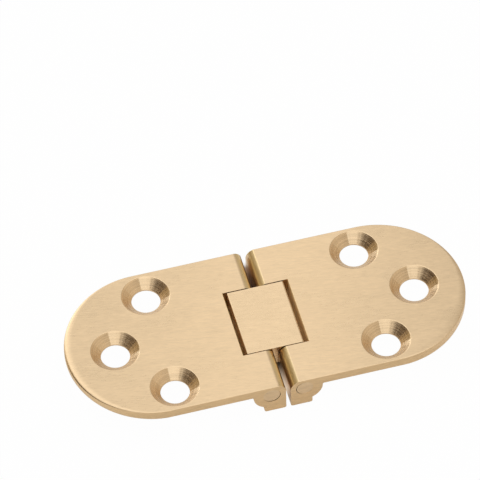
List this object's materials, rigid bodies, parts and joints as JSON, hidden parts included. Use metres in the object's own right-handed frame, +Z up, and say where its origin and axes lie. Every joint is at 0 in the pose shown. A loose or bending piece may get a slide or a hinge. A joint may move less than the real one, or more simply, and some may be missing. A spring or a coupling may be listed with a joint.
{
  "type": "back flap hinge",
  "caption": "Round-ended brass flap hinge: countersunk leaves joined by a flush bridge link on through pins, folding top face to top face.",
  "frame": {"origin": "middle of the hinge on the plane of its feet", "axes": "+X along the hinge from leaf_left to leaf_right, +Y along the pins, +Z up out of the flush top face"},
  "size_m": [0.07, 0.03, 0.0062],
  "materials": {
    "leaf_left": "satin, brushed along the leaf",
    "leaf_right": "satin, brushed along the leaf",
    "link": "satin, brushed along the leaf",
    "pin_left": "drawn rod, ground end",
    "pin_right": "drawn rod, ground end"
  },
  "bodies": {
    "leaf_left": {"leaf_left": "leaf_left", "pin_left": "pin_left"},
    "link": {"link": "link"},
    "leaf_right": {"leaf_right": "leaf_right", "pin_right": "pin_right"}
  },
  "joints": [
    {"name": "left_pivot", "type": "hinge", "parent": "leaf_left", "child": "link", "pos_m": [-0.00295, 0, 0.00412], "axis": [0, -1, 0], "range_deg": [0, 90]},
    {"name": "right_pivot", "type": "hinge", "parent": "link", "child": "leaf_right", "pos_m": [0.00295, 0, 0.00412], "axis": [0, -1, 0], "range_deg": [0, 90]}
  ]
}
